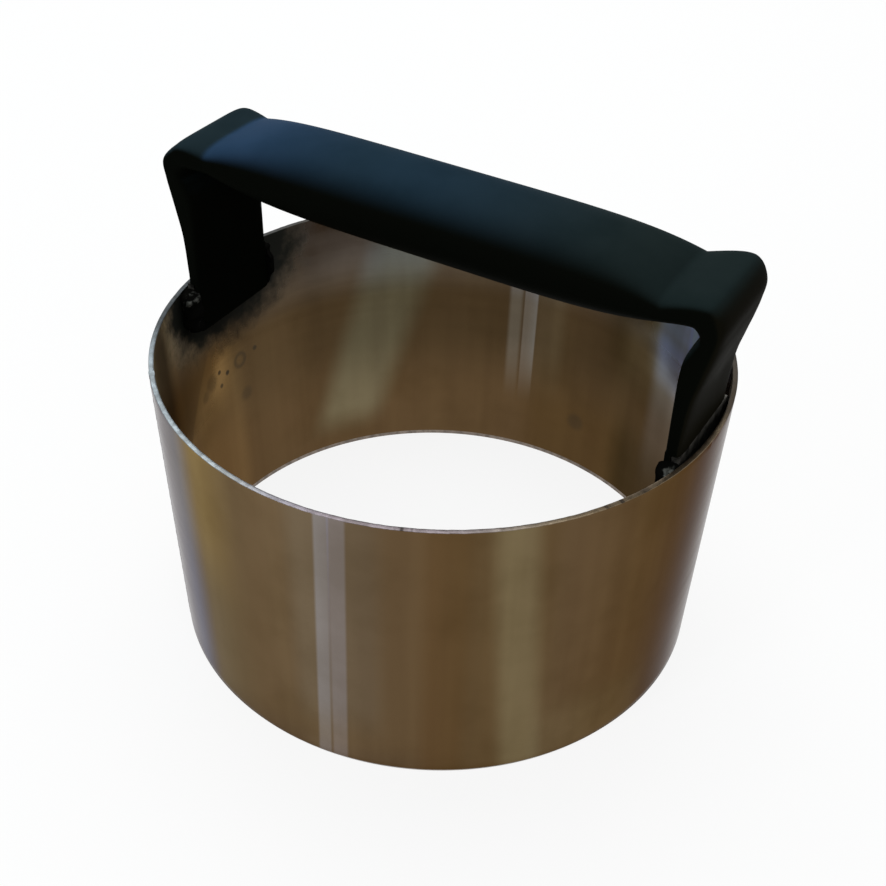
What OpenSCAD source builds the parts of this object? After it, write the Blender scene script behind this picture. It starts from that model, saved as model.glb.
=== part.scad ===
// Round biscuit and dough cutter: a rolled sheet ring with a moulded bridge handle.
// The ring stands on its cutting edge at z = 0, the handle runs along X.

/* [Ring] */
// Outside diameter at the upper rim
ring_d = 114.3; // [90:0.1:150]
// Height from the cutting edge to the rim
ring_h = 63.5; // [45:0.5:90]
// Amount by which the radius is smaller at the cutting edge than at the rim
ring_taper = 2.4; // [0:0.1:4]
// Thickness of the sheet
wall = 1.0; // [0.8:0.1:1.5]
// Height of the ground bevel over the cutting edge
bevel_h = 0.9; // [0.5:0.1:2]
// Width of the flat land left on the cutting edge
edge_land = 0.5; // [0.3:0.05:0.7]
// Width of the weld that closes the rolled ring
seam_w = 1.6; // [1:0.1:3]
// How far the dressed seam stands proud of the sheet on each side
seam_proud = 0.08; // [0.04:0.02:0.2]
// Direction of the seam, in degrees from +X
seam_az = 224; // [195:1:235]

/* [Legs] */
// Width of each leg
leg_w = 22.8; // [18:0.1:26]
// Thickness of each leg above its foot
leg_t = 3.2; // [3:0.1:5]
// Depth to which the feet reach inside the ring
foot_depth = 10; // [6:0.5:14]
// Height over the rim at which the legs start to flare outwards
waist_z = 3; // [2:0.5:6]
// How far the ear tips stand outside the feet
ear_out = 4.1; // [2:0.1:6]
// Height of the ears over the rim
ear_z = 32.1; // [30:0.1:36]
// Height of the ear's rounded tip, from its top down to its widest point
ear_tip = 4.2; // [3.5:0.1:5]
// Thickness of the ear's plate
ear_t = 6.5; // [5.5:0.1:8]

/* [Grip] */
// Distance from the ear's outer face in to the valley beside the grip
valley_in = 7.1; // [5:0.1:9]
// Height of the valley over the rim
valley_z = 31.4; // [29:0.1:34]
// Thickness of the grip at the valley
valley_t = 6.4; // [5.5:0.1:8]
// Height of the grip's top over the rim
grip_z = 35.6; // [35:0.1:42]
// Thickness of the grip at its middle
grip_t = 15.5; // [13:0.1:18]
// Width of the grip
grip_w = 21.4; // [18:0.1:26]

/* [Core] */
// Thickness of the steel strap inside the handle
core_t = 1.5; // [1:0.1:1.6]
// Width of the strap inside the moulding
core_w = 14; // [8:0.5:15]
// Height of the bare tangs over the rim
tang_rise = 1; // [0:0.5:1.5]
// Play between a tang's corners and the inside of the ring
tang_gap = 0.05; // [0.02:0.01:0.2]

/* [Welds] */
// Radius of each bead of weld beside the tangs
bead_r = 2.9; // [2:0.1:3.5]
// Number of beads along each edge of a tang
bead_n = 3; // [2:1:4]
// Depth of the first and last bead inside the tang's ends
bead_inset = 2.6; // [2:0.1:3]

/* [Hidden] */

steel = [0.56, 0.51, 0.45];
dressed = [0.62, 0.60, 0.57];
black = [0.07, 0.08, 0.09];
bare = [0.50, 0.50, 0.50];
burnt = [0.36, 0.34, 0.32];

// Ring radii: outside at the rim and the edge, inside as a line parallel to it
rim_r = ring_d / 2;
edge_r = rim_r - ring_taper;
inner_rim_r = rim_r - wall;
inner_edge_r = edge_r - wall;
foot_z = ring_h - foot_depth;
inner_foot_r = inner_rim_r - ring_taper * foot_depth / ring_h;

// Outer face of the legs: the corners of the tangs just fit inside the ring at the feet
leg_x = sqrt(pow(inner_foot_r, 2) - pow(leg_w / 2, 2)) - tang_gap;
leg_in = leg_x - leg_t;
tip_z = ear_z - ear_tip;
valley_x = leg_x - valley_in;

// Steps of the moulding: along each span of the leg, along half the grip, and round a section
span_steps = 3;
grip_steps = 9;
round_steps = 24;
// Squareness of a section: 2 is an ellipse, 6 a slab with rounded edges
oval = 2.2;
slab = 6;
// How suddenly the grip swells from the valleys
swell = 4.9;
// How quickly the legs flare towards the ears
flare = 1.2;

// Outward lean of the leg's outer face, half a cosine, at a fraction of the way from the waist to the ear's tip
function lean(f) = ear_out * (1 - cos(180 * pow(f, flare))) / 2;
// Height at a fraction of the way from the waist to the ear's tip
function leg_z(f) = waist_z + f * (tip_z - waist_z);

// Sections from a foot to the valley:
// [inner x, inner z, outer x, outer z, half width, inner squareness, outer squareness]
function leg_station(f, inner_dx, inner_f, inner_sq) = [
    leg_in + inner_dx, leg_z(inner_f), leg_x + lean(f), leg_z(f),
    leg_w / 2, inner_sq, slab];
leg_stations = [
    [leg_in, -foot_depth, leg_x, -foot_depth, leg_w / 2, slab, slab],
    [leg_in, waist_z, leg_x, waist_z, leg_w / 2, slab, slab],
    leg_station(0.34, 0, 0.32, slab),
    leg_station(0.56, 0, 0.52, slab),
    leg_station(0.71, 0.3, 0.68, 5.5),
    leg_station(0.85, 1.5, 0.8, 4.5),
    leg_station(1, 2.3, 0.875, 3.6),
    [leg_x - ear_t / 3, ear_z - 0.95 * ear_t, leg_x + 0.5 * ear_out, ear_z - 0.26 * ear_tip, leg_w / 2, 3, slab],
    [leg_x - 0.6 * ear_t, ear_z - ear_t, leg_x - 0.2 * ear_out, ear_z, leg_w / 2, 2.7, 5.5],
    grip_station(valley_x)];

// A section across the grip at a distance x from its middle
function grip_station(x) = let (s = pow(x / valley_x, swell)) [
    x, grip_z - grip_t + s * (valley_z - valley_t - grip_z + grip_t),
    x, grip_z + s * (valley_z - grip_z),
    grip_w / 2 + s * (leg_w - grip_w) / 2 * 0.5, oval + s * 0.3, oval + s];

// Smooth curve through four neighbours, a fraction t of the way from b to c
function smooth_between(a, b, c, d, t) = 0.5 * (2 * b + (c - a) * t
    + (2 * a - 5 * b + 4 * c - d) * t * t + (3 * b - a - 3 * c + d) * t * t * t);
leg_last = len(leg_stations) - 1;
leg_ends = concat([2 * leg_stations[0] - leg_stations[1]], leg_stations,
    [2 * leg_stations[leg_last] - leg_stations[leg_last - 1]]);
half_stations = concat(
    [for (i = [1 : len(leg_ends) - 3], k = [0 : span_steps - 1])
        smooth_between(leg_ends[i - 1], leg_ends[i], leg_ends[i + 1], leg_ends[i + 2], k / span_steps)],
    [for (k = [grip_steps : -1 : 1]) grip_station(valley_x * k / grip_steps)]);
last = len(half_stations) - 1;
stations = concat(half_stations, [grip_station(0)],
    [for (i = [last : -1 : 0]) let (s = half_stations[i])
        [-s[0], s[1], -s[2], s[3], s[4], s[5], s[6]]]);

// Signed power, which makes a rounded square out of a circle
function signed_pow(v, e) = sign(v) * pow(abs(v), e);
function section(s) = [for (k = [0 : round_steps - 1])
    let (a = 360 * k / round_steps, e = 2 / (sin(a) < 0 ? s[5] : s[6]),
        across = signed_pow(cos(a), e), out = signed_pow(sin(a), e))
    [(s[0] + s[2]) / 2 + (s[2] - s[0]) / 2 * out, s[4] * across,
        ring_h + (s[1] + s[3]) / 2 + (s[3] - s[1]) / 2 * out]];

// Solid through a list of sections, closed with a flat cap at both ends
module skin(sections) {
    n = len(sections[0]);
    rows = len(sections);
    points = [for (s = sections) each s];
    sides = [for (i = [0 : rows - 2], j = [0 : n - 1], half = [0, 1])
        let (p = i * n + j, q = i * n + (j + 1) % n)
        half == 0 ? [p, p + n, q + n] : [p, q + n, q]];
    caps = [[for (j = [0 : n - 1]) j], [for (j = [n - 1 : -1 : 0]) (rows - 1) * n + j]];
    polyhedron(points, concat(caps, sides), convexity = 6);
}

// Outline of the sheet, from its axis outwards, thickened on both sides by extra
module sheet_outline(extra) {
    land_r = inner_edge_r + edge_land;
    bevel_r = edge_r + ring_taper * bevel_h / ring_h;
    polygon([[inner_edge_r - extra, 0], [land_r + extra, 0], [bevel_r + extra, bevel_h],
        [rim_r + extra, ring_h], [inner_rim_r - extra, ring_h]]);
}

// Block that marks the seam's place through the wall of the ring
module seam_gap() {
    rotate([0, 0, seam_az])
        translate([inner_edge_r - 2, -seam_w / 2, -1])
            cube([ring_taper + wall + 4, seam_w, ring_h + 2]);
}

// Space inside the ring, bounded by the tapered wall
module ring_bore() {
    rotate_extrude($fn = 180)
        polygon([[0, 0], [inner_edge_r, 0], [inner_rim_r, ring_h], [0, ring_h]]);
}

module cutter_ring() {
    color(steel)
        difference() {
            rotate_extrude($fn = 180)
                sheet_outline(0);
            seam_gap();
        }
}

module ring_seam_weld() {
    color(dressed)
        intersection() {
            rotate_extrude($fn = 180)
                sheet_outline(seam_proud);
            seam_gap();
        }
}

// Middle line of the moulding from one waist to the other, in X and Z over the rim
function middle(s) = [(s[0] + s[2]) / 2, (s[1] + s[3]) / 2];
core_path = [for (i = [span_steps : len(stations) - 1 - span_steps]) middle(stations[i])];
// Unit normal of a path at one of its points, from the points on both sides of it
function path_normal(path, i) = let (
    ahead = path[min(i + 1, len(path) - 1)] - path[max(i - 1, 0)])
    [-ahead[1], ahead[0]] / norm(ahead);
// The strap's edge line on one side of its middle
function strap_edge(side) = [for (i = [0 : len(core_path) - 1])
    core_path[i] + side * core_t / 2 * path_normal(core_path, i)];

// Outline of the strap: a tang's thickness below, a joggle inwards, then the middle of the moulding
module strap_outline() {
    outer = strap_edge(-1);
    inner = strap_edge(1);
    polygon(concat([[leg_x, tang_rise]], outer, [[-leg_x, tang_rise], [core_t - leg_x, tang_rise]],
        [for (i = [len(inner) - 1 : -1 : 0]) inner[i]], [[leg_x - core_t, tang_rise]]));
}

// The U-shaped strap with its two full-width tangs
module strap() {
    translate([0, core_w / 2, ring_h])
        rotate([90, 0, 0])
            linear_extrude(core_w)
                strap_outline();
    for (end = [0, 1])
        mirror([end, 0, 0])
            translate([leg_x - core_t, -leg_w / 2, foot_z])
                cube([core_t, leg_w, foot_depth + tang_rise]);
}

module handle_moulding() {
    color(black)
        difference() {
            skin([for (s = stations) section(s)]);
            strap();
        }
}

module handle_core() {
    color(bare)
        strap();
}

// Row of beads that joins one edge of a tang to the wall, on one side and one end of the handle
module tang_weld(end, side) {
    pitch = (foot_depth - 2 * bead_inset) / (bead_n - 1);
    intersection() {
        ring_bore();
        difference() {
            for (k = [0 : bead_n - 1])
                translate([end * (leg_x - core_t / 2), side * leg_w / 2, foot_z + bead_inset + k * pitch])
                    sphere(bead_r, $fn = 48);
            translate([-rim_r, -leg_w / 2, 0])
                cube([2 * rim_r, leg_w, ring_h]);
        }
    }
}

module weld_left_front() {
    color(burnt)
        tang_weld(-1, -1);
}

module weld_left_back() {
    color(burnt)
        tang_weld(-1, 1);
}

module weld_right_front() {
    color(burnt)
        tang_weld(1, -1);
}

module weld_right_back() {
    color(burnt)
        tang_weld(1, 1);
}

cutter_ring();
ring_seam_weld();
handle_moulding();
handle_core();
weld_left_front();
weld_left_back();
weld_right_front();
weld_right_back();
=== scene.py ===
# %% [markdown]
# A round cutter for biscuits and dough: a ring rolled from thin steel sheet, with a black moulded
# handle that bridges it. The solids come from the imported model. This lesson dresses them: it makes
# finer surfaces with numpy where the solids are plain, and gives every surface its finish.

# %% Load the frame
import math

import bmesh
import bpy
import numpy as np
from mathutils import Matrix, Vector


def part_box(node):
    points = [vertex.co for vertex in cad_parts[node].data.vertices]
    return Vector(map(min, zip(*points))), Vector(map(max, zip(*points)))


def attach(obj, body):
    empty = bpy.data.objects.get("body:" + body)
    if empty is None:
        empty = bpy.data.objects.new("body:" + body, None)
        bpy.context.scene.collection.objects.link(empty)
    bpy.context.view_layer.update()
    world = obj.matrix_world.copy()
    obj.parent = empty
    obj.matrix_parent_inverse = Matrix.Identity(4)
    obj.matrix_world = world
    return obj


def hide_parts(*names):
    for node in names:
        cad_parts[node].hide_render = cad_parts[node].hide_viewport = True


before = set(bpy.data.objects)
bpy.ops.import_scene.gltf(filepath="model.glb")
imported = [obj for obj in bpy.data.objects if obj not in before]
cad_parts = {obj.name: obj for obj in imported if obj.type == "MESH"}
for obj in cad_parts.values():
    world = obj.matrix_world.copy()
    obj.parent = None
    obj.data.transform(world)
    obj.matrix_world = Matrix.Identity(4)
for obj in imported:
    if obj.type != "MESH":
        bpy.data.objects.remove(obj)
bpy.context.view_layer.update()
MM = 0.001
print("solids:", sorted(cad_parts))

# %% [markdown]
# The main sizes are read from the solids, so that the dressed pieces stay on them. What a box can't
# tell, such as the ring's taper, is a named value in millimetres times MM.

# %% The sizes that everything is made from
ring_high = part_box("cutter_ring")[1]
moulding_low, moulding_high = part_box("handle_moulding")
RIM_R = ring_high.x
RING_H = ring_high.z
TAPER = 2.4 * MM
WALL = 1.0 * MM
BEVEL_H = 0.9 * MM
EDGE_LAND = 0.5 * MM
FOOT_DEPTH = 10 * MM
TANG_T = 1.5 * MM
TANG_RISE = 1.0 * MM
TANG_GAP = 0.05 * MM
LEG_W = moulding_high.y - moulding_low.y
LEG_T = 3.2 * MM
FOOT_Z = RING_H - FOOT_DEPTH


def outer_r(z):
    """Radius of the ring's outer wall at height z: a straight line from the edge to the rim."""
    return RIM_R - TAPER * (1 - z / RING_H)


def inner_r(z):
    """Radius of the inner wall: the outer one less the thickness of the sheet."""
    return outer_r(z) - WALL


LEG_X = math.sqrt(inner_r(FOOT_Z) ** 2 - (LEG_W / 2) ** 2) - TANG_GAP
print(f"ring {2000 * RIM_R:.1f} x {1000 * RING_H:.1f} mm, outer face of the legs at {1000 * LEG_X:.2f} mm")

# %% [markdown]
# The photograph looks down at the ring from the front right, over the near end of the handle. The
# camera stands where a fit of the rim, the cutting edge and the handle puts it, without any shift.

# %% The camera
VIEW_FROM = Vector((112.1, -197.6, 213.1)) * MM
VIEW_TURN = math.radians(29.46)
VIEW_TILT = math.radians(37.60)
VIEW_ROLL = math.radians(-1.8165)
VIEW_LENS = 56.13
VIEW_NEAR = 0.01

back = Vector((math.sin(VIEW_TURN) * math.cos(VIEW_TILT),
               -math.cos(VIEW_TURN) * math.cos(VIEW_TILT),
               math.sin(VIEW_TILT)))
level = Vector((math.cos(VIEW_TURN), math.sin(VIEW_TURN), 0))
upright = back.cross(level)
right = math.cos(VIEW_ROLL) * level - math.sin(VIEW_ROLL) * upright
up = math.sin(VIEW_ROLL) * level + math.cos(VIEW_ROLL) * upright
camera = bpy.data.objects.new("camera", bpy.data.cameras.new("camera"))
camera.data.lens = VIEW_LENS
camera.data.clip_start = VIEW_NEAR
camera.matrix_world = Matrix((right, up, back)).transposed().to_4x4()
camera.location = VIEW_FROM
bpy.context.scene.collection.objects.link(camera)
bpy.context.scene.camera = camera
print("camera:", [round(v, 4) for v in camera.location])

# %% [markdown]
# A new piece is a grid of points, worked out as one numpy array. Each row of the grid is a closed
# ring of points, and neighbouring rows are joined by faces, which makes a tube. Its two open ends
# get a flat cap.

# %% Grids to meshes
def grid_faces(rows, columns):
    """Corner numbers of the squares between neighbouring points, row after row, closed round each row."""
    i, j = np.meshgrid(np.arange(rows - 1), np.arange(columns), indexing="ij")
    k = (j + 1) % columns
    corners = [i * columns + j, i * columns + k, (i + 1) * columns + k, (i + 1) * columns + j]
    return np.stack(corners, axis=-1).reshape(-1, 4)


def add_piece(name, points, crease=35):
    """Mesh of a closed tube from an array of rings of points, sharp where it turns past the crease."""
    rows, columns = points.shape[:2]
    faces = grid_faces(rows, columns).tolist()
    faces.append(list(range(columns)))
    faces.append(list(range((rows - 1) * columns, rows * columns)))
    mesh = bpy.data.meshes.new(name)
    mesh.from_pydata(points.reshape(-1, 3), [], faces)
    shape = bmesh.new()
    shape.from_mesh(mesh)
    bmesh.ops.recalc_face_normals(shape, faces=shape.faces)
    shape.to_mesh(mesh)
    shape.free()
    mesh.shade_smooth()
    mesh.set_sharp_from_angle(angle=math.radians(crease))
    piece = bpy.data.objects.new(name, mesh)
    bpy.context.scene.collection.objects.link(piece)
    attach(piece, "root")
    print(f"{name}: {len(mesh.polygons)} faces")
    return piece


print("a grid of 3 rows of 4 points has", len(grid_faces(3, 4)), "faces")

# %% [markdown]
# The ring is one strip of sheet, rolled and welded. Its section is a thin slanted bar: outside up,
# over the sheared rim, inside down, and across the ground bevel that makes the cutting edge. The
# shear has left the rim flat, with its two corners only just rounded.

# %% The ring's section
WALL_ROWS = 44
RIM_ROUND = 0.12 * MM
# where two points of the flat rim lie, as shares of the thickness of the sheet
RIM_FLAT = np.array([0.37, 0.63])

top = RING_H - RIM_ROUND
wall_rise = np.linspace(BEVEL_H, top, WALL_ROWS)
quarter = np.linspace(0, np.pi / 2, 5)[1:]
section_r = np.concatenate([
    outer_r(wall_rise),
    RIM_R - RIM_ROUND + RIM_ROUND * np.cos(quarter),
    RIM_R - WALL * RIM_FLAT,
    RIM_R - WALL + RIM_ROUND - RIM_ROUND * np.sin(quarter),
    inner_r(wall_rise[::-1]),
    [inner_r(0), inner_r(0) + EDGE_LAND]])
section_z = np.concatenate([
    wall_rise,
    top + RIM_ROUND * np.sin(quarter),
    [RING_H, RING_H],
    top + RIM_ROUND * np.cos(quarter),
    wall_rise[::-1],
    [0, 0]])
print(len(section_r), "points go round the section")

# %% [markdown]
# The section goes round as a surface of revolution that stops on both sides of the seam. Sheet that
# has been rolled by hand is never quite true, so the walls wave by a few hundredths of a millimetre
# above the stiff edge, and the rim keeps the small steps that the shear left. A few cosines with
# random phases make such a wander, and a fixed seed keeps it the same on every run.

# %% The ring
SEAM_TURN = math.radians(224)
SEAM_W = 1.6 * MM
ROUND = 640
WAVE_DEPTH = 0.05 * MM
WAVE_FROM_EDGE = 5 * MM
STEP_DEPTH = 0.07 * MM
STEP_FREE = 0.4
# how many waves or steps of each kind go round the ring
RIM_WAVES = [2, 3, 5, 9]
SHEET_WAVES = [4, 7, 13]
SHEAR_STEPS = [31, 53, 89, 144, 233]


def waves(position, counts, seed):
    """Smooth random curve: a sum of cosines of the position, with random phases, from about -1 to 1."""
    phases = np.random.default_rng(seed).uniform(0, 2 * np.pi, len(counts))
    return sum(np.cos(n * position + p) for n, p in zip(counts, phases)) / math.sqrt(len(counts))


half_gap = SEAM_W / 2 / RIM_R
turn = np.linspace(SEAM_TURN + half_gap, SEAM_TURN + 2 * np.pi - half_gap, ROUND)[:, None]
wave = waves(turn, RIM_WAVES, 1) * section_z / RING_H + waves(turn, SHEET_WAVES, 2) * 0.5
ring_r = section_r - WAVE_DEPTH * (1 + wave / 2) / 2 * np.minimum(section_z / WAVE_FROM_EDGE, 1)
torn = np.clip(waves(turn, SHEAR_STEPS, 3), -STEP_FREE, 2) + STEP_FREE
ring_z = section_z - STEP_DEPTH * torn / 2 * (section_z > top)
ring = add_piece("rolled_ring", np.stack([ring_r * np.cos(turn), ring_r * np.sin(turn), ring_z], axis=-1))

# %% [markdown]
# Four surfaces follow each other round the section: the sheet outside, the cut of the rim, the sheet
# inside, and the ground edge. Each face gets the number of the surface that it belongs to.

# %% The ring's four surfaces
OUTSIDE, CUT, INSIDE, GROUND = range(4)
RIM_FACES = 9
EDGE_FACES = 3

surface_of_face = np.repeat([OUTSIDE, CUT, INSIDE, GROUND], [WALL_ROWS, RIM_FACES, WALL_ROWS, EDGE_FACES])
surfaces = np.concatenate([np.tile(surface_of_face, ROUND - 1), [CUT, CUT]])
ring.data.polygons.foreach_set("material_index", surfaces.astype(np.int32))
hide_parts("cutter_ring")
print("faces of each surface:", np.bincount(surfaces).tolist())

# %% [markdown]
# The seam is a butt weld, dressed until it is almost flush. It keeps a faint crown on both sides,
# and its edges wander where the sander stopped.

# %% The seam
SEAM_PROUD = 0.08 * MM
SEAM_ROWS = 220
SEAM_STEPS = 13
SEAM_WANDER = 0.03
SEAM_LUMP = 0.25
# how many radians of wave go from the cutting edge to the rim
WANDER_TURN = 60
LUMP_TURN = 120

across = np.linspace(-1, 1, SEAM_STEPS)
crown = 1 - across ** 4
rise = np.linspace(0, RING_H, SEAM_ROWS)[:, None]
wander = 1 + SEAM_WANDER * waves(rise / RING_H * WANDER_TURN, [1, 2.3, 4.1], 4)
lump = 1 - SEAM_LUMP + SEAM_LUMP * waves(rise / RING_H * LUMP_TURN, [1, 1.7, 3.1], 5)
near_edge = np.clip(rise / BEVEL_H, 0, 1)
outside_r = (inner_r(0) + EDGE_LAND) * (1 - near_edge) + outer_r(np.maximum(rise, BEVEL_H)) * near_edge
side_out = outside_r + SEAM_PROUD * crown * lump
side_in = inner_r(rise) - SEAM_PROUD * crown[::-1] * lump
seam_r = np.concatenate([side_out, side_in], axis=1)
seam_t = np.concatenate([across, across[::-1]]) * SEAM_W / 2 * np.minimum(wander, 1)
outwards = np.array([math.cos(SEAM_TURN), math.sin(SEAM_TURN)])
sideways = np.array([-math.sin(SEAM_TURN), math.cos(SEAM_TURN)])
seam_xy = seam_r[..., None] * outwards + seam_t[..., None] * sideways
seam_z = (rise * np.ones_like(seam_r))[..., None]
seam = add_piece("dressed_seam", np.concatenate([seam_xy, seam_z], axis=-1))
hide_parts("ring_seam_weld")

# %% [markdown]
# The handle is one smooth moulding. It is drawn as a chain of sections, from the foot inside the
# ring up the leg, over the ear, down into the valley and along the swelling grip, and then the same
# way back. Each section is a rounded oblong, a superellipse, between an inner and an outer point.
# It is written as seven numbers: X and height of the inner point, X and height of the outer point,
# half the width, and how square the inner and the outer half are. Heights count from the rim.

# %% The grip and the valleys
GRIP_Z = 35.6 * MM
GRIP_T = 15.5 * MM
GRIP_W = 21.4 * MM
VALLEY_T = 6.4 * MM
SWELL = 4.9
OVAL = 2.2
UNDER_SQUARER = 0.3
TOP_SQUARER = 1.0
# the valleys beside the grip lie at unlike places, as on the real moulding
VALLEY_X = {"left": LEG_X - 6.4 * MM, "right": LEG_X - 7.8 * MM}
VALLEY_Z = {"left": 31.8 * MM, "right": 30.9 * MM}


def grip_section(end, k):
    """Section across the grip, k of the way out to an end's valley: it thins by a high power of the way."""
    s = k ** SWELL
    x = VALLEY_X[end] * k
    under_z = GRIP_Z - GRIP_T + s * (VALLEY_Z[end] - VALLEY_T - GRIP_Z + GRIP_T)
    top_z = GRIP_Z + s * (VALLEY_Z[end] - GRIP_Z)
    half_w = GRIP_W / 2 + s * (LEG_W - GRIP_W) / 4
    return [x, under_z, x, top_z, half_w, OVAL + s * UNDER_SQUARER, OVAL + s * TOP_SQUARER]


print(f"grip {1000 * GRIP_T:.1f} mm thick, valleys {1000 * VALLEY_T:.1f} mm")

# %% [markdown]
# A leg starts at its waist just over the rim. Its outer side leans out into the ear, and its inner
# side stays upright and then turns in under the ear. The two ears differ too: one stands out
# further, and the other has the fuller corner.

# %% The legs and the ears
WAIST = 3 * MM
EAR_Z = 32.1 * MM
EAR_TIP = 4.2 * MM
EAR_T = 6.5 * MM
SLAB = 6.0
FLARE = 1.2
LEG_IN = LEG_X - LEG_T
TIP_Z = EAR_Z - EAR_TIP
EAR_OUT = {"left": 4.05 * MM, "right": 3.8 * MM}
EAR_FULLER = {"left": -0.4 * MM, "right": 0.3 * MM}
# the outer point's share of the leg's height, how far the inner point has moved in, its share of the
# height, and how square the inner half is
LEG_STEPS = [(0.34, 0, 0.32, SLAB),
             (0.56, 0, 0.52, SLAB),
             (0.71, 0.3 * MM, 0.68, 5.5),
             (0.85, 1.5 * MM, 0.8, 4.5),
             (1, 2.3 * MM, 0.875, 3.6)]


def leg_section(end, f, inner_dx, inner_f, inner_square):
    """Section of a leg at a fraction f of its height: the outer side leans out along half a cosine."""
    lean = EAR_OUT[end] * (1 - math.cos(math.pi * f ** FLARE)) / 2
    climb = TIP_Z - WAIST
    return [LEG_IN + inner_dx, WAIST + inner_f * climb, LEG_X + lean, WAIST + f * climb, LEG_W / 2,
            inner_square, SLAB]


def leg_chain(end):
    """Sections of one end: the waist, the steps up the leg, the ear's corner and top, and the valley."""
    fuller = EAR_FULLER[end]
    waist = [LEG_IN, WAIST, LEG_X, WAIST, LEG_W / 2, SLAB, SLAB]
    steps = [leg_section(end, *step) for step in LEG_STEPS]
    # the corner and the top of the ear lie at fixed shares of its sizes
    corner = [LEG_X - EAR_T / 3, EAR_Z - 0.95 * EAR_T,
              LEG_X + 0.5 * EAR_OUT[end] + fuller, EAR_Z - 0.26 * EAR_TIP + fuller,
              LEG_W / 2, 3, SLAB]
    ear_top = [LEG_X - 0.6 * EAR_T, EAR_Z - EAR_T,
               LEG_X - 0.2 * EAR_OUT[end], EAR_Z + fuller / 3,
               LEG_W / 2, 2.7, 5.5]
    return np.array([waist, *steps, corner, ear_top, grip_section(end, 1)])


print(f"{len(leg_chain('left'))} sections lead from the waist to the valley")

# %% [markdown]
# Below the rim the outer side of each foot makes room for the bare tang of the steel core. The foot's
# end is rounded a little, as a moulded edge is.

# %% The feet
END_ROUND = 0.5 * MM
SHOULDER = 0.6 * MM


def foot_section(z, shrink, outer_x):
    """Section of the foot at a height over the rim, drawn in on all sides by an amount."""
    return [LEG_IN + shrink, z, outer_x - shrink, z, LEG_W / 2 - shrink, SLAB, SLAB]


tang_face = LEG_X - TANG_T
foot_chain = []
for a in np.linspace(0, np.pi / 2, 6)[::-1]:
    z = -FOOT_DEPTH + END_ROUND * (1 - math.sin(a))
    foot_chain.append(foot_section(z, END_ROUND * (1 - math.cos(a)), tang_face))
for z in np.linspace(-FOOT_DEPTH + END_ROUND, TANG_RISE, 12)[1:]:
    foot_chain.append(foot_section(z, 0, tang_face))
for z in (TANG_RISE, TANG_RISE + SHOULDER):
    foot_chain.append(foot_section(z, 0, LEG_X))
print(len(foot_chain), "sections make a foot")

# %% [markdown]
# A smooth curve through the given sections fills in the rest. It is made of cubic spans: each one
# starts and ends at a given section, and its slope there is half the way between the two beside it.

# %% The handle
SPAN_STEPS = 12
GRIP_STEPS = 60
AROUND = 144


def smooth_chain(chain, steps):
    """Cubic spans through a chain, straight at its ends: each one meets its neighbours smoothly."""
    p = np.vstack([2 * chain[0] - chain[1], chain, 2 * chain[-1] - chain[-2]])
    t = (np.arange(steps) / steps)[None, :, None]
    a, b, c, d = (p[k:len(p) - 3 + k, None] for k in range(4))
    slope = (c - a) * t
    bend = (2 * a - 5 * b + 4 * c - d) * t ** 2
    easing = (3 * b - a - 3 * c + d) * t ** 3
    return ((2 * b + slope + bend + easing) / 2).reshape(-1, p.shape[1])


def half_handle(end):
    """All sections of one end, from the foot to the last one before the middle of the grip."""
    grip = [grip_section(end, k / GRIP_STEPS) for k in range(GRIP_STEPS, 0, -1)]
    return np.vstack([foot_chain, smooth_chain(leg_chain(end), SPAN_STEPS), grip])


def superellipse(chain, around):
    """Points of all sections: cosine and sine raised to a power that squares them, between the two ends."""
    angle = np.linspace(0, 2 * np.pi, around, endpoint=False)
    cosine, sine = np.cos(angle), np.sin(angle)
    in_x, in_z, out_x, out_z, half_w, in_sq, out_sq = (chain[:, k, None] for k in range(7))
    power = 2 / np.where(sine < 0, in_sq, out_sq)
    sideways = np.sign(cosine) * np.abs(cosine) ** power
    outwards = np.sign(sine) * np.abs(sine) ** power
    x = (in_x + out_x) / 2 + (out_x - in_x) / 2 * outwards
    z = RING_H + (in_z + out_z) / 2 + (out_z - in_z) / 2 * outwards
    return np.stack([x, half_w * sideways, z], axis=-1)


mirrored = half_handle("left")[::-1] * np.array([-1, 1, -1, 1, 1, 1, 1])
chain = np.vstack([half_handle("right"), [grip_section("right", 0)], mirrored])
moulding = add_piece("bridge_handle", superellipse(chain, AROUND), crease=50)
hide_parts("handle_moulding")

# %% [markdown]
# The bare tangs stand against the wall and are welded to it along both edges. A run of weld is a
# fillet laid drop after drop: it swells and pinches along its length, its drops lap over each other
# and no two are alike. In section it is an arc about the tang's edge, cut off by the wall and by the
# side of the tang.

# %% The welds
BEAD_R = 3.3 * MM
BEAD_CLEAR = 0.1 * MM
BEAD_ROWS = 60
BEAD_STEPS = 25
DROPS = 3.5
DROP_DEPTH = 0.06
DROP_BOW = 0.25
LUMP_MEAN = 0.93
LUMP_DEPTH = 0.13
LUMPS_ALONG = 5
LUMPS_ACROSS = 1.3
# how blunt the two ends of a run are: its radius there, as a share of the full one
END_R = 0.08


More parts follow.
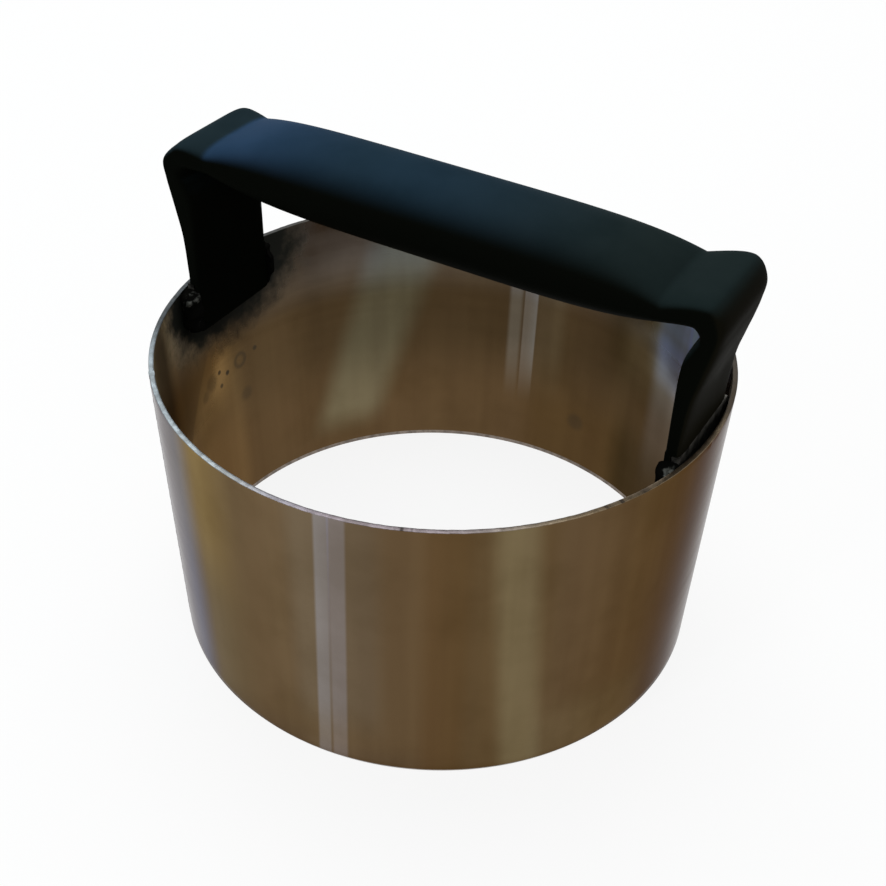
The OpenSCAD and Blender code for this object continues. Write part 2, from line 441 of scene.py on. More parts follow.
def weld_run(end, side, seed):
    """Fillet along one edge of a tang: radius = bead x drop ripple x random lumps, held inside the wall."""
    run = np.linspace(0, 1, BEAD_ROWS)[:, None]
    sweep = np.linspace(0, np.pi, BEAD_STEPS)[None, :]
    ends = np.sqrt(np.clip(1 - (2 * run - 1) ** 6, 0, 1)) * (1 - END_R) + END_R
    drops = 1 - DROP_DEPTH + DROP_DEPTH * np.abs(np.sin(np.pi * (DROPS * run - DROP_BOW * np.sin(sweep))))
    lump_place = run * LUMPS_ALONG + LUMPS_ACROSS * np.cos(sweep)
    lumps = LUMP_MEAN + LUMP_DEPTH * waves(lump_place, [1, 2.1, 3.7], seed)
    radius = BEAD_R * np.minimum(ends * drops * lumps, 1)
    z = FOOT_Z + (FOOT_DEPTH - BEAD_CLEAR) * run * np.ones_like(sweep)
    x = LEG_X - TANG_T / 2 + radius * np.cos(sweep)
    y = LEG_W / 2 + radius * np.sin(sweep)
    held = np.minimum(1, inner_r(z) / np.hypot(x, y))
    return np.stack([end * x * held, side * np.maximum(y * held, LEG_W / 2), z], axis=-1)


beads = []
for number, (name, end, side) in enumerate([("left_front", -1, -1), ("left_back", -1, 1),
                                            ("right_front", 1, -1), ("right_back", 1, 1)]):
    bead = add_piece("bead_" + name, weld_run(end, side, 20 + number), crease=60)
    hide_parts("weld_" + name)
    beads.append(bead)

# %% [markdown]
# Materials are built from nodes. One helper adds a node, sets its values and links its inputs, and
# a few more give names to the nodes that come again and again, so that each finish reads as a list of
# what goes into what.

# %% Helpers for nodes
def new_material(name):
    """An empty node material, its tree, and its shader, which is linked to the output."""
    material = bpy.data.materials.new(name)
    material.use_nodes = True
    tree = material.node_tree
    tree.nodes.clear()
    output = tree.nodes.new("ShaderNodeOutputMaterial")
    shader = tree.nodes.new("ShaderNodeBsdfPrincipled")
    tree.links.new(shader.outputs[0], output.inputs["Surface"])
    return material, tree, shader


def feed(tree, made, inputs):
    """Gives each of a node's inputs its plain value, or links another node's output to it."""
    for key, value in dict(inputs).items():
        if isinstance(value, bpy.types.NodeSocket):
            tree.links.new(value, made.inputs[key])
        else:
            made.inputs[key].default_value = value


def node(tree, kind, inputs=(), out=0, **settings):
    """Adds a node of a kind with its settings, feeds its inputs, and returns one of its outputs."""
    made = tree.nodes.new("ShaderNode" + kind)
    for key, value in settings.items():
        setattr(made, key, value)
    feed(tree, made, inputs)
    return made.outputs[out]


def maths(tree, operation, *numbers, **settings):
    """A Math node: an operation on numbers or outputs."""
    return node(tree, "Math", dict(enumerate(numbers)), operation=operation, **settings)


def times(tree, first, second):
    """Two numbers or outputs multiplied."""
    return maths(tree, "MULTIPLY", first, second)


def mix_colour(tree, amount, first, second, blend="MIX"):
    """Two colours mixed by an amount, each a value or a node's output."""
    pair = [v if isinstance(v, bpy.types.NodeSocket) else (*v, 1) for v in (first, second)]
    return node(tree, "Mix", {0: amount, 6: pair[0], 7: pair[1]}, out=2, data_type="RGBA", blend_type=blend)


# %% [markdown]
# Most patterns begin with a noise or a distance and then pass through a smooth step, which decides
# where the pattern starts and where it is full.

# %% Noise, steps and bumps
def noise(tree, place, scale, detail=4, rough=0.55):
    """Noise from 0 to 1 over the object, stretched by a scale for each axis."""
    moved = node(tree, "Mapping", {"Vector": place, "Scale": scale})
    return node(tree, "TexNoise", {"Vector": moved, "Scale": 1, "Detail": detail, "Roughness": rough})


def ramp(tree, value, low, high):
    """Smooth step: 0 below the low value, 1 above the high one."""
    return node(tree, "MapRange", {0: value, 1: low, 2: high}, interpolation_type="SMOOTHSTEP")


def fade(tree, value, full, none):
    """Smooth step from 1 at the first value to 0 at the second."""
    return node(tree, "MapRange", {0: value, 1: full, 2: none, 3: 1, 4: 0}, interpolation_type="SMOOTHSTEP")


def spread(tree, value, low, high, start=0, stop=1):
    """Straight line that turns a value between start and stop into one between low and high."""
    return node(tree, "MapRange", {0: value, 1: start, 2: stop, 3: low, 4: high})


def distance(tree, place, point):
    """Distance of each spot of the surface from a point."""
    return node(tree, "VectorMath", {0: place, 1: point}, out=1, operation="DISTANCE")


def bumps(tree, height, strength, depth):
    """Normals for a relief of a depth in metres."""
    return node(tree, "Bump", {"Strength": strength, "Distance": depth, "Height": height})


# %% [markdown]
# Rolled sheet shows upright bands, because each stretch of the curve mirrors another part of a room
# and because the tint of the steel wanders with the rolling. Here the bands are painted into the
# colour, so most of them are painted reflections and painted shade. A band is a range of directions
# round the ring's axis, with soft sides and a slight lean. It is found from the object's own X, Y and
# Z, so it stays on the sheet wherever the light or the camera goes.

# %% Bands and spots
def direction(tree, place):
    """Direction round the Z axis in degrees, the arc tangent of Y over X, and the height."""
    parts = node(tree, "SeparateXYZ", {0: place}).node.outputs
    return maths(tree, "DEGREES", maths(tree, "ARCTAN2", parts["Y"], parts["X"])), parts["Z"]


def turned_away(tree, turned, height, centre, lean=0.0):
    """Degrees between a direction and a band's middle, which leans by a few degrees from edge to rim."""
    middle = maths(tree, "MULTIPLY_ADD", height, lean / RING_H, centre - lean / 2)
    wrapped = maths(tree, "WRAP", maths(tree, "SUBTRACT", turned, middle), 180.0, -180.0)
    return maths(tree, "ABSOLUTE", wrapped)


def band(tree, turned, height, centre, half, soft, lean=0.0, rise=None):
    """1 within half a width of the band's middle, 0 beyond the soft side, and fading in over the rise."""
    mask = fade(tree, turned_away(tree, turned, height, centre, lean), half, half + soft)
    if rise:
        mask = times(tree, mask, ramp(tree, height, rise[0] * MM, rise[1] * MM))
    return mask


def tinted(tree, colour, turned, height, bands):
    """A colour multiplied by the tint of each band."""
    for *shape, tint in bands.values():
        colour = mix_colour(tree, band(tree, turned, height, *shape), colour, tint, "MULTIPLY")
    return colour


def wall_spot(tree, place, degrees, z, reach, soft):
    """1 near a point of the inner wall at a direction and a height, and 0 beyond the soft side, in mm."""
    z, reach, soft = (length * MM for length in (z, reach, soft))
    a = math.radians(degrees)
    away = distance(tree, place, (inner_r(z) * math.cos(a), inner_r(z) * math.sin(a), z))
    return fade(tree, away, reach, reach + soft)


print(f"one degree of the rim is {1000 * math.radians(RIM_R):.2f} mm")

# %% [markdown]
# The sheet is stainless steel with a warm brown cast. A band multiplies the brown by its tint: more
# blue than red gives a cold one. The bands are painted reflections and painted shade: the two front
# panes are a painted reflection of a window, the cold left flank a painted reflection of the same
# daylight, and the dim bands painted shade.

# %% Tints of the outside
BROWN = (0.104, 0.062, 0.028)
WARM = (0.120, 0.073, 0.033)
# middle, half width, soft side and lean in degrees, the heights in mm between which it fades in, and tint
OUTSIDE_REFLECTION_BANDS = {
    "cold left flank": (-127, 7, 9, 0, None, (0.93, 1.35, 3.5)),
    "pale left": (-114, 4, 16, 0, None, (1.13, 1.27, 1.30)),
    "pale left, upper": (-115, 5, 12, 0, (22, 50), (1.48, 1.38, 1.06)),
    "warm left": (-105, 12, 44, 0, None, (1.42, 1.6, 1.87)),
    "darker low left": (-86, 16, 18, 0, (8, 1), (0.86, 0.86, 0.90)),
    "beside the panes": (-79, 6, 5, 0, (4, 18), (1.03, 1.12, 1.30)),
    "left pane": (-81.6, 1.0, 0.7, 1.9, None, (1.47, 1.79, 2.75)),
    "right pane": (-78.5, 1.2, 0.7, 1.4, None, (1.40, 1.64, 2.45)),
    "brown front": (-58.5, 2, 4, 0, None, (0.95, 0.89, 0.80)),
    "olive": (-44.8, 1.6, 4.6, -4.4, None, (1.45, 1.72, 2.0)),
    "olive shoulder": (-48, 5, 10, -3, None, (1.07, 1.12, 1.10)),
    "pale right": (-26, 11, 5, 0, None, (1.11, 1.16, 1.26)),
    "pale low right": (-25, 9, 8, 0, (20, 8), (1.20, 1.30, 1.34)),
    "dim right": (0, 16, 22, 0, None, (0.88, 0.84, 0.74)),
    "right flank": (8, 9, 9, 0, None, (0.71, 0.56, 0.40)),
    "warm back": (60, 10, 16, 0, None, (1.3, 1.4, 1.5)),
    "back pane": (98, 2, 1, 1.5, None, (1.6, 2.0, 3.2)),
    "olive back": (140, 6, 10, 3, None, (1.4, 1.7, 1.9))}
print(len(OUTSIDE_REFLECTION_BANDS), "bands outside")

# %% [markdown]
# The inner wall has painted shade in the middle of its height, where it mirrors the wall across, and
# a greyer painted reflection at the rim. On its left flank a pale wedge of painted reflection lies where
# a broad band and a strongly leaning one overlap, and another painted reflection brightens it beside the
# foot.

# %% Tints of the inside
# the heights in mm between which a tint of the whole wall sets in, and the tint
# the first tint is painted shade, the second a painted reflection at the rim
WALL_SHADE_AND_REFLECTION = [(10, 33, (0.58, 0.60, 0.60)), (40, 57, (2.35, 3.05, 5.0))]
# painted reflections of the window panes and the room, and painted shade, as under the grip
INSIDE_REFLECTION_BANDS = {
    "far pane, left": (101.8, 0.9, 1.3, 0, (12, 32), (1.9, 2.5, 4.0)),
    "far pane, right": (98.0, 1.5, 0.4, 0, (12, 32), (2.1, 2.8, 4.8)),
    "far pane's side": (93, 2, 4, 0, (12, 32), (1.35, 1.5, 1.7)),
    "olive": (136.7, 4, 8, -22, (2, 12), (1.5, 2.0, 2.5)),
    "warm left": (146, 4, 9, 0, (40, 56), (1.4, 1.5, 1.75)),
    "pale side of the foot": (179, 16, 14, 0, (10, 34), (1.45, 1.47, 1.5)),
    "left flank": (-140, 8, 14, 0, None, (2.5, 2.3, 1.8)),
    "dim right": (64, 8, 8, 0, (24, 40), (0.70, 0.72, 0.66)),
    "grey right": (58.5, 6, 9, 0, (26, 44), (1.95, 2.15, 2.5)),
    "cold right": (51.5, 6, 5, 0, (0, 42), (1.8, 2.3, 3.8)),
    "cold right, under the grip": (54, 5, 6, 0, (34, 43), (1.6, 2.0, 3.0)),
    "dim right, under the grip": (58, 7, 4, 0, (45, 50), (0.66, 0.58, 0.42)),
    "brown low right": (81, 12, 8, 0, (30, 12), (0.80, 0.77, 0.66)),
    "dim low right": (58, 8, 8, 0, (30, 12), (0.55, 0.59, 0.60)),
    "grey right, under the grip": (63.5, 1.5, 3.5, 0, (43, 48), (1.6, 1.7, 1.8)),
    "olive front": (-100, 8, 10, 0, None, (1.4, 1.7, 1.9)),
    "front pane": (-60, 2, 1, 0, (12, 32), (1.6, 2.0, 3.2))}
# the painted reflection beside the foot, which is laid on before the wedge
FOOT_REFLECTION_BAND = {"painted reflection beside the left foot": (-167, 8, 8, 0, (24, 48), (3.5, 3.5, 3.2))}
# middle, half width, soft side and lean of the two bands whose overlap is the wedge, and its tint;
# the wedge is a painted reflection
REFLECTION_WEDGE_BANDS = [(-143, 37, 7, 0), (-204, 40, 1.6, -51)]
WEDGE_REFLECTION_TINT = (1.3, 1.28, 1.2)


def inner_painted_light(tree, colour, turned, height):
    """A colour multiplied by painted shade and reflection by height, beside the foot and in the wedge."""
    for low, high, tint in WALL_SHADE_AND_REFLECTION:
        colour = mix_colour(tree, ramp(tree, height, low * MM, high * MM), colour, tint, "MULTIPLY")
    colour = tinted(tree, colour, turned, height, FOOT_REFLECTION_BAND)
    reflection_wedge = times(tree, *(band(tree, turned, height, *shape) for shape in REFLECTION_WEDGE_BANDS))
    return mix_colour(tree, reflection_wedge, colour, WEDGE_REFLECTION_TINT, "MULTIPLY")


print(len(INSIDE_REFLECTION_BANDS), "bands inside")

# %% [markdown]
# Welding has left its marks on the inner wall, and nobody has cleaned them off. Soot and the painted
# shade of the legs lie round both feet, in half an ellipse that hangs from the rim and has a ragged
# edge. Drops of spatter have stuck to the wall under the left foot, and one has burst into a small loop.
# Further out the heat has dulled the sheet, which makes a rougher place with no colour of its own.

# %% Marks of the welding
# colour of the soot and of the painted shade round the feet, also used for the spatter
SOOT_AND_SHADE = (0.020, 0.021, 0.018)
SOOT_SHADE_TURN = 26
SOOT_SHADE_DEPTH = 19.6 * MM
SOOT_SHADE_RAGGED = 0.5
SOOT_SHADE_FULL = 1.02
SOOT_SHADE_NONE = 1.42
SOOT_ROUGH = 0.3
SOOT_SHADE_NOISE = (230, 230, 230)
# direction of each foot, and the size of its soot and painted shade
SOOT_SHADE_FEET = [(180, 1.0), (0, 0.75)]
# direction in degrees, height, solid radius and soft edge in mm, and strength
SPATTER = [(170.9, 37.4, 0.4, 0.4, 0.6), (-176.4, 37.3, 0.35, 0.35, 0.8), (-179.3, 35.7, 0.4, 0.4, 0.8),
           (-176.7, 33.6, 0.35, 0.35, 0.7), (174.9, 27.0, 0.9, 1.5, 0.3), (-173, 36.4, 1.2, 1.6, 0.3),
           (-170, 34.5, 0.8, 1.0, 0.25), (82.7, 12.5, 1.2, 1.8, 0.3)]
# the burst drop is a disc less a smaller, softer hole at the same direction and height
BURST_DISC = (176, 36.6, 1.7, 0.7)
BURST_HOLE = (176, 36.6, 0.6, 1.0)
BURST_STRENGTH = 0.4
# middle, half width, soft side and lean in degrees, and the heights in mm between which it fades in
DULLED = [(52, 8, 8, 0, (38, 52)), (-153, 17, 8, 0, (20, 40))]
DULLED_ROUGH = 0.2


def soot_and_shade_round(tree, turned, height, rough_edge, centre, size):
    """Share of soot and painted shade by a foot: ellipse distance from the rim, shifted by a noise, faded.
    """
    across = maths(tree, "DIVIDE", turned_away(tree, turned, height, centre), size * SOOT_SHADE_TURN)
    down = node(tree, "MapRange", {0: height, 1: RING_H, 2: RING_H - size * SOOT_SHADE_DEPTH, 4: 1}, clamp=False)
    both = node(tree, "CombineXYZ", {0: across, 1: down, 2: 0})
    reach = node(tree, "VectorMath", {0: both}, out=1, operation="LENGTH")
    return fade(tree, maths(tree, "MULTIPLY_ADD", rough_edge, SOOT_SHADE_RAGGED, reach), SOOT_SHADE_FULL, SOOT_SHADE_NONE)


def welding_marks(tree, colour, place, turned, height):
    """The colour with soot and painted shade, spatter and the burst drop over it, and the soot's share."""
    rough_edge = noise(tree, place, SOOT_SHADE_NOISE, 5, 0.65)
    soot_and_shade = 0
    for centre, size in SOOT_SHADE_FEET:
        mark = soot_and_shade_round(tree, turned, height, rough_edge, centre, size)
        colour = mix_colour(tree, mark, colour, SOOT_AND_SHADE)
        soot_and_shade = maths(tree, "MAXIMUM", mark, soot_and_shade)
    for *spot, strength in SPATTER:
        colour = mix_colour(tree, times(tree, wall_spot(tree, place, *spot), strength), colour, SOOT_AND_SHADE)
    disc = wall_spot(tree, place, *BURST_DISC)
    hole = wall_spot(tree, place, *BURST_HOLE)
    loop = maths(tree, "SUBTRACT", disc, hole, use_clamp=True)
    return mix_colour(tree, times(tree, loop, BURST_STRENGTH), colour, SOOT_AND_SHADE), soot_and_shade


def dulled(tree, rough, turned, height, soot_and_shade):
    """Roughness plus that of the dulled places and of the soot."""
    for shape in DULLED:
        dull = times(tree, band(tree, turned, height, *shape), DULLED_ROUGH)
        rough = maths(tree, "ADD", dull, rough)
    return maths(tree, "ADD", times(tree, soot_and_shade, SOOT_ROUGH), rough)


print(len(SPATTER), "drops of spatter")

# %% [markdown]
# Rolling leaves a fine grain that runs round the ring, so what the sheet mirrors is drawn out up and
# down: that is anisotropy. Long upright streaks shift the brown a little, and soft clouds of handling
# dull it. Both sides of the sheet share this finish, and the inner one gets its own tints and marks.

# %% Rolled steel
# how often a pattern changes in a metre along X, Y and Z
STREAKS = (140, 140, 3)
CLOUDS = (60, 60, 60)
GRAIN = (90, 90, 5200)
SMEAR = (25, 25, 500)
CLOUD_TINT = (0.86, 0.85, 0.82)
SHEET_ROUGH = (0.15, 0.20)
GRAIN_STRENGTH = 0.1
GRAIN_DEPTH = 0.00002
# what the shader is told directly: bare metal whose gloss is drawn out across the grain
BRUSHED = {"Metallic": 1, "Anisotropic": 0.6, "Anisotropic Rotation": 0.25,
           "Specular Tint": (0.51, 0.48, 0.47, 1)}


def rolled_steel(name, bands, inside):
    """Brushed sheet: brown metal, painted reflection bands, level grain lines and an upright smear."""
    material, tree, shader = new_material(name)
    place = node(tree, "TexCoord", out="Object")
    turned, height = direction(tree, place)
    streaks = ramp(tree, noise(tree, place, STREAKS, 3), 0.3, 0.7)
    colour = mix_colour(tree, streaks, BROWN, WARM)
    if inside:
        colour = inner_painted_light(tree, colour, turned, height)
    colour = tinted(tree, colour, turned, height, bands)
    clouds = ramp(tree, noise(tree, place, CLOUDS, 4), 0.42, 0.72)
    colour = mix_colour(tree, clouds, colour, CLOUD_TINT, "MULTIPLY")
    rough = spread(tree, noise(tree, place, SMEAR, 4), *SHEET_ROUGH, 0.3, 0.7)
    if inside:
        colour, soot_and_shade = welding_marks(tree, colour, place, turned, height)
        rough = dulled(tree, rough, turned, height, soot_and_shade)
    grain = bumps(tree, noise(tree, place, GRAIN, 3, 0.7), GRAIN_STRENGTH, GRAIN_DEPTH)
    feed(tree, shader, {"Base Color": colour, "Roughness": rough, "Normal": grain,
                        "Tangent": node(tree, "Tangent", direction_type="RADIAL", axis="Z"), **BRUSHED})
    return material


outside_sheet = rolled_steel("rolled steel outside", OUTSIDE_REFLECTION_BANDS, False)
inside_sheet = rolled_steel("rolled steel inside", INSIDE_REFLECTION_BANDS, True)
print("nodes of the two sides:", [len(m.node_tree.nodes) for m in (outside_sheet, inside_sheet)])

# %% [markdown]
# The sheared rim is raw metal. Painted reflections make it blue-grey at the left, duller at the front
# and pale at the back. It is darker by the left foot and at the right, and brownish at the front right,
# where the shear has left a few black nicks.

# %% The sheared rim
CUT_BROWN = (0.10, 0.085, 0.07)
CUT_GREY = (0.15, 0.13, 0.11)
NICK = (0.02, 0.016, 0.014)
CUT_PATCHES = (500, 500, 500)
CUT_GLOSS = (1500, 1500, 1500)
CUT_GRIT = (2600, 2600, 300)
GRIT_DEPTH = 0.00004
RIM_REFLECTION_BANDS = {
    "blue-grey left": (-145, 25, 45, 0, None, (1.6, 2.1, 2.7)),
    "lilac front": (-72, 10, 20, 0, None, (1.05, 1.02, 1.3)),
    "pale back": (95, 25, 20, 0, None, (1.9, 2.2, 2.6)),
    "darker left": (180, 24, 16, 0, None, (0.2, 0.2, 0.2)),
    "darker right": (30, 20, 12, 0, None, (0.2, 0.19, 0.18)),
    "brown right": (-12, 22, 20, 0, None, (1.1, 0.95, 0.72))}
# direction and half width in degrees, and strength
NICKS = [(-66.5, 0.5, 0.9), (-64.8, 0.3, 0.5), (-30.6, 0.5, 0.6), (-27.4, 0.6, 0.8), (-22, 1.4, 0.5)]


def sheared_rim():
    """Raw cut steel: grey-brown patches, wide painted reflection bands, a few black nicks and a fine grit.
    """
    material, tree, shader = new_material("sheared edge")
    place = node(tree, "TexCoord", out="Object")
    turned, height = direction(tree, place)
    patches = ramp(tree, noise(tree, place, CUT_PATCHES, 4), 0.35, 0.65)
    colour = mix_colour(tree, patches, CUT_BROWN, CUT_GREY)
    colour = tinted(tree, colour, turned, height, RIM_REFLECTION_BANDS)
    for centre, half, strength in NICKS:
        nick = times(tree, band(tree, turned, height, centre, half * 0.2, half * 0.8), strength)
        colour = mix_colour(tree, nick, colour, NICK)
    rough = spread(tree, noise(tree, place, CUT_GLOSS, 3), 0.3, 0.5)
    grit = bumps(tree, noise(tree, place, CUT_GRIT, 3), 0.25, GRIT_DEPTH)
    feed(tree, shader, {"Base Color": colour, "Roughness": rough, "Normal": grit, "Metallic": 1})
    return material


cut_steel = sheared_rim()
print(len(NICKS), "nicks in the rim")

# %% [markdown]
# The ground edge and the steel core are plain bare metal, with faint pits and stained patches. The
# seam is the sheet's own steel, brightened in one more band where the sander has been over it.

# %% The other bare metal
EDGE_STEEL = (0.24, 0.20, 0.17)
CORE_STEEL = (0.085, 0.08, 0.07)
BLOTCHES = (600, 600, 600)
PITS = (3000, 3000, 3000)
PIT_DEPTH = 0.00004
DRESSING = (-136, 10, 5, 0, None, (1.35, 1.3, 1.2))


def plain_metal(name, colour, roughness, stain=0.55):
    """Bare metal with uneven roughness, faint pits and patches stained to a share of the colour."""
    material, tree, shader = new_material(name)
    place = node(tree, "TexCoord", out="Object")
    blotch = ramp(tree, noise(tree, place, BLOTCHES, 4), 0.35, 0.7)
    fine = noise(tree, place, PITS, 3)
    feed(tree, shader, {
        "Base Color": mix_colour(tree, blotch, colour, tuple(c * stain for c in colour)),
        "Roughness": spread(tree, fine, roughness - 0.1, roughness + 0.1),
        "Normal": bumps(tree, fine, 0.3, PIT_DEPTH),
        "Metallic": 1})
    return material


for material in (outside_sheet, cut_steel, inside_sheet, plain_metal("ground edge", EDGE_STEEL, 0.3)):
    ring.data.materials.append(material)
seam.data.materials.append(rolled_steel("dressed weld", {**OUTSIDE_REFLECTION_BANDS, "dressing": DRESSING}, False))
seam.data.materials.append(ring.data.materials[CUT])
seam.data.polygons[-1].material_index = 1
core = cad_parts["handle_core"]
core.data.materials.clear()
core.data.materials.append(plain_metal("core steel", CORE_STEEL, 0.55, 0.12))
print("ring finishes:", [material.name for material in ring.data.materials])

# %% [markdown]
# The welds were never cleaned, so they are black with scale. A coarse noise decides where small
# patches of it have come off, and at two places, near the tops of the front beads, a painted highlight
# lightens the welds in the same pale colour.

# %% Weld scale
SCALE = (0.0045, 0.0045, 0.004)
BARE_AND_HIGHLIGHT = (0.06, 0.062, 0.056)
SCALE_TINT = (0.32, 0.32, 0.30, 1)
WORN = (420, 420, 420)
CRUST = (1800, 1800, 1800)
CRUST_DEPTH = 0.00008
# middle of a painted highlight, its reach, and its strength
WELD_HIGHLIGHTS = [((-52.5 * MM, -13.2 * MM, 62.5 * MM), 1.1 * MM, 0.22),
          ((53.5 * MM, -13 * MM, 62.3 * MM), 0.6 * MM, 0.16)]


def weld_scale():
    """Black scale with small bare patches, and painted highlights in the same colour at two places."""
    material, tree, shader = new_material("weld scale")
    place = node(tree, "TexCoord", out="Object")
    wear_and_highlight = noise(tree, place, WORN, 3, 0.6)
    for point, reach, strength in WELD_HIGHLIGHTS:
        near = fade(tree, distance(tree, place, point), reach, 3 * reach)
        wear_and_highlight = maths(tree, "ADD", times(tree, near, strength), wear_and_highlight)
    bare_and_highlight = ramp(tree, wear_and_highlight, 0.62, 0.74)
    feed(tree, shader, {
        "Base Color": mix_colour(tree, bare_and_highlight, SCALE, BARE_AND_HIGHLIGHT),
        "Roughness": spread(tree, bare_and_highlight, 0.85, 0.5),
        "Normal": bumps(tree, noise(tree, place, CRUST, 4), 0.4, CRUST_DEPTH),
        "Specular Tint": SCALE_TINT,
        "Metallic": 1})
    return material


for bead in beads:
    bead.data.materials.append(weld_scale())
print("weld scale on", len(beads), "beads")

# %% [markdown]
# The handle is black satin plastic. A very fine spark texture breaks its gloss into a soft sheen.
# Where it faces up it has a painted sheen, blue at the left end and grey-green at the right one, and
# its undersides stay black. The outer side of the right ear has a painted brown reflection of the wall.

# %% Black plastic
BLACK = (0.0020, 0.0024, 0.0016)
# painted brown reflection of the ring's wall on the outer side of the right ear
WALL_REFLECTION_BROWN = (0.0052, 0.0047, 0.0028)
# painted sheen on the left ear, changed along the handle by the steps below
SHEEN_LEFT_EAR = (0.0125, 0.0225, 0.0280)
# the X in mm between which the painted sheen changes along the handle, and what it changes to
SHEEN_ALONG_HANDLE = [(-49.3, -47.8, (0.0200, 0.0440, 0.0860)),
         (-47, -15, (0.0118, 0.0265, 0.0420)),
         (-12, 42, (0.0108, 0.0172, 0.0175))]
SHEEN_FROM = RING_H + 8 * MM
SHEEN_FULL = RING_H + 22 * MM
# the direction that the painted sheen faces
SKYWARD = (-0.25, 0.28, 0.927)
HANDLED = (70, 70, 70)
SHEEN_PATCH_TINT = (0.75, 0.8, 0.8)
SPARKS = (2600, 2600, 2600)
SPARK_DEPTH = 0.00003


def black_plastic():
    """Near-black plastic: a painted sheen where the surface faces up, a soft gloss and a fine spark
    texture.
    """
    material, tree, shader = new_material("black plastic")
    place = node(tree, "TexCoord", out="Object")
    normal = node(tree, "NewGeometry", out=1)
    parts = node(tree, "SeparateXYZ", {0: place}).node.outputs
    along, height = parts["X"], parts["Z"]
    handled = noise(tree, place, HANDLED, 4)
    painted_sheen = SHEEN_LEFT_EAR
    for start, stop, change in SHEEN_ALONG_HANDLE:
        painted_sheen = mix_colour(tree, ramp(tree, along, start * MM, stop * MM), painted_sheen, change)
    painted_sheen = mix_colour(tree, ramp(tree, handled, 0.35, 0.75), painted_sheen, SHEEN_PATCH_TINT, "MULTIPLY")
    facing = node(tree, "VectorMath", {0: normal, 1: SKYWARD}, out=1, operation="DOT_PRODUCT")
    upper = ramp(tree, height, SHEEN_FROM, SHEEN_FULL)
    outward = node(tree, "SeparateXYZ", {0: normal})
    wall_reflection = times(tree, ramp(tree, along, 47 * MM, 53 * MM), ramp(tree, outward, 0.1, 0.8))
    dark = mix_colour(tree, wall_reflection, BLACK, WALL_REFLECTION_BROWN)
    feed(tree, shader, {
        "Base Color": mix_colour(tree, times(tree, ramp(tree, facing, 0.0, 0.95), upper), dark, painted_sheen),
        "Roughness": spread(tree, handled, 0.40, 0.50, 0.3, 0.7),
        "Normal": bumps(tree, noise(tree, place, SPARKS, 2, 0.7), 0.25, SPARK_DEPTH),
        "Specular IOR Level": 0.0015})
    return material


moulding.data.materials.append(black_plastic())
print("handle finish:", moulding.data.materials[0].name)

# %% [markdown]
# The studio is a pale floor, a pale surround and soft lamps. The floor is mostly white for the camera
# and for reflections, and keeps a light shadow.

# %% The floor
FLOOR_HALF = 3.0
FLOOR_DROP = 0.0002
FLOOR_WHITE = 0.88
FLOOR_COLOUR = (0.86, 0.86, 0.86, 1)
WHITE = (1, 1, 1, 1)


def any_ray(tree, kinds):
    """1 for rays of any of the kinds, and otherwise 0."""
    path = node(tree, "LightPath").node.outputs
    found = path[kinds[0]]
    for kind in kinds[1:]:
        found = maths(tree, "MAXIMUM", found, path[kind])
    return found


floor_mesh = bpy.data.meshes.new("floor")
floor_corners = [(FLOOR_HALF * x, FLOOR_HALF * y, 0) for x, y in ((-1, -1), (1, -1), (1, 1), (-1, 1))]
floor_mesh.from_pydata(floor_corners, [], [(0, 1, 2, 3)])
floor = bpy.data.objects.new("floor", floor_mesh)
floor.location.z = -FLOOR_DROP
bpy.context.scene.collection.objects.link(floor)
pale, tree, shader = new_material("pale floor")
feed(tree, shader, {"Base Color": FLOOR_COLOUR, "Roughness": 0.9, "Specular IOR Level": 0.1})
glow = node(tree, "Emission", {"Color": WHITE, "Strength": 1})
keep = times(tree, any_ray(tree, ["Is Camera Ray", "Is Glossy Ray"]), FLOOR_WHITE)
blend = node(tree, "MixShader", {0: keep, 1: shader.outputs[0], 2: glow})
tree.links.new(blend, tree.nodes["Material Output"].inputs["Surface"])
floor_mesh.materials.append(pale)
print("floor", 2 * FLOOR_HALF, "m wide")

# %% [markdown]
# The surround is white for the camera and for whatever mirrors or lets it through, and dimmer as
# light, so that the lamps shape the object.

# %% The surround
WORLD_LIGHT = 0.35
WORLD_SEEN = 1.0

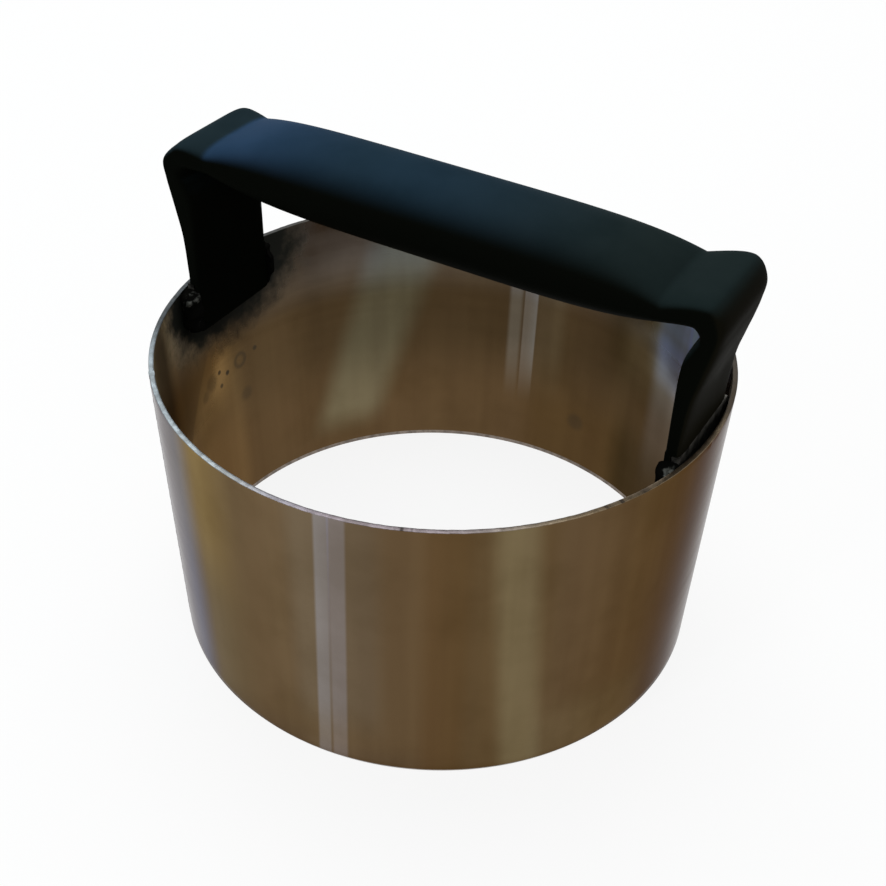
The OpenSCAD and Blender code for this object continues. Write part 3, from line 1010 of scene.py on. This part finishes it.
world = bpy.data.worlds.new("surround")
bpy.context.scene.world = world
world.use_nodes = True
tree = world.node_tree
tree.nodes.clear()
seen = any_ray(tree, ["Is Camera Ray", "Is Glossy Ray", "Is Transmission Ray"])
strength = spread(tree, seen, WORLD_LIGHT, WORLD_SEEN)
surround = node(tree, "Background", {"Color": WHITE, "Strength": strength})
output = tree.nodes.new("ShaderNodeOutputWorld")
tree.links.new(surround, output.inputs["Surface"])
print("surround:", WORLD_SEEN, "as seen,", WORLD_LIGHT, "as light")

# %% [markdown]
# Two soft lamps light the object: a large one overhead and a little behind, and a weaker one from
# the front right that opens the shadows.

# %% The lamps
AIM = (0, 0, 0.05)


def soft_lamp(name, place, aim, size, power, colour=(1, 1, 1)):
    """Rectangular soft lamp at a place, turned to its aim, that the camera doesn't see."""
    lamp = bpy.data.lights.new(name, "AREA")
    lamp.shape = "RECTANGLE"
    lamp.size, lamp.size_y = size
    lamp.energy = power
    lamp.color = colour
    stand = bpy.data.objects.new(name, lamp)
    stand.location = place
    stand.rotation_euler = (Vector(aim) - Vector(place)).to_track_quat("-Z", "Y").to_euler()
    stand.visible_camera = False
    bpy.context.scene.collection.objects.link(stand)
    print(f"{name} lamp: {power} W")


soft_lamp("overhead", place=(-0.25, 0.35, 1.0), aim=AIM, size=(0.9, 0.9), power=9, colour=(0.95, 1.0, 1.0))
soft_lamp("front", place=(0.9, -0.9, 0.8), aim=AIM, size=(0.8, 0.8), power=4)

# %% [markdown]
# The window that the photograph shows as a double streak on the ring is a pair of tall narrow lamps
# at the front left.

# %% The window
WINDOW_AWAY = 1.1
WINDOW_Z = 0.45
WINDOW_AIM = (0, 0, 0.04)
WINDOW_SIZE = (0.09, 0.9)
WINDOW_POWER = 2.0
WINDOW_COLOUR = (0.85, 0.93, 1.0)
for name, degrees in (("window_left", -112.5), ("window_right", -103.8)):
    a = math.radians(degrees)
    place = (WINDOW_AWAY * math.cos(a), WINDOW_AWAY * math.sin(a), WINDOW_Z)
    soft_lamp(name, place, WINDOW_AIM, WINDOW_SIZE, WINDOW_POWER, WINDOW_COLOUR)

# %% [markdown]
# Last, colours are shown as they are written, without the look of a film.

# %% Finish
bpy.context.scene.view_settings.view_transform = "Standard"
